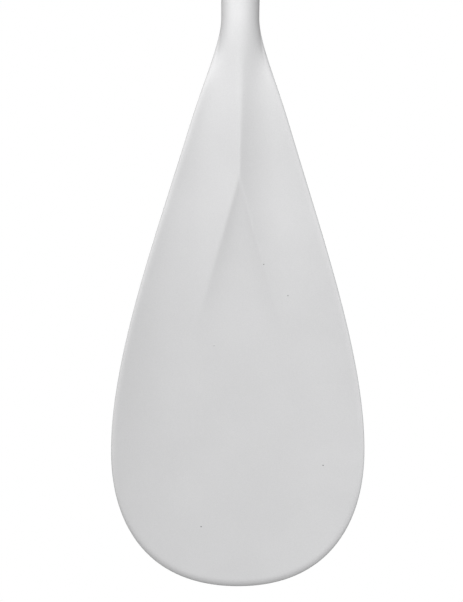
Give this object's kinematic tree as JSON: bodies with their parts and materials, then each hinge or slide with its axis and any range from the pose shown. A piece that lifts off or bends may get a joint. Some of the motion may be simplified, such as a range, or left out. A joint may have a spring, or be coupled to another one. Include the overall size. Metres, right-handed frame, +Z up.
{
  "type": "stand up paddle",
  "caption": "Adjustable stand-up paddle: a white spoon-shaped blade with a forked spine, telescoping alloy shaft with a cam clamp, and a T-grip.",
  "frame": {"origin": "on the ground, midway along the paddle's length and under the shaft's axis", "axes": "+Y from the blade's tip to the grip, +X to the right of the power face, +Z up out of the power face"},
  "size_m": [0.218, 1.6518, 0.0682],
  "materials": {
    "white_nylon": "white moulded nylon, satin, fine grain",
    "anodised_alloy": "silver anodised, satin, drawn along the tube",
    "stainless_steel": "turned stainless steel",
    "black_nylon": "black moulded nylon, fine texture",
    "grey_rubber": "dark grey rubber, matte",
    "white_foam": "closed-cell foam"
  },
  "bodies": {
    "blade_and_lower_shaft": {"blade": "white_nylon", "ferrule": "anodised_alloy", "neck_rivet_left": "stainless_steel", "neck_rivet_right": "stainless_steel", "ferrule_cap": "grey_rubber", "snap_spring": "stainless_steel", "lower_shaft": "anodised_alloy", "clamp_collar": "black_nylon", "collar_screw": "stainless_steel", "lever_pin": "stainless_steel", "clamp_bolt": "stainless_steel", "cam_washer": "stainless_steel", "nut_washer": "stainless_steel", "wiper_seal": "grey_rubber"},
    "button": {"snap_button": "stainless_steel"},
    "lever": {"clamp_lever": "black_nylon"},
    "nut": {"tension_nut": "black_nylon"},
    "guide": {"guide_plug": "black_nylon"},
    "upper_shaft_and_grip": {"upper_shaft": "anodised_alloy", "foam_plug_low": "white_foam", "foam_plug_high": "white_foam", "grip_core": "black_nylon", "grip_pad": "grey_rubber", "grip_screw": "stainless_steel"}
  },
  "joints": [
    {"name": "length_slide", "type": "slide", "parent": "blade_and_lower_shaft", "child": "guide", "axis": [0, 0.9995, -0.0328], "range_m": [0, 0.45]},
    {"name": "grip_twist", "type": "hinge", "parent": "guide", "child": "upper_shaft_and_grip", "pos_m": [0, 0.80896, 0.01419], "axis": [0, 0.9995, -0.0328], "continuous": true},
    {"name": "lever_swing", "type": "hinge", "parent": "blade_and_lower_shaft", "child": "lever", "pos_m": [0.0178, 0.56996, 0.04665], "axis": [0, -0.9995, 0.0328], "range_deg": [0, 150]},
    {"name": "nut_turn", "type": "hinge", "parent": "blade_and_lower_shaft", "child": "nut", "pos_m": [-0.0149, 0.56996, 0.04665], "axis": [-1, 0, 0], "continuous": true},
    {"name": "button_press", "type": "slide", "parent": "blade_and_lower_shaft", "child": "button", "axis": [0, -0.0328, -0.9995], "range_m": [0, 0.0042], "stiffness_N_per_m": 2500, "springref_m": -0.002, "deforming": ["snap_spring"]}
  ]
}
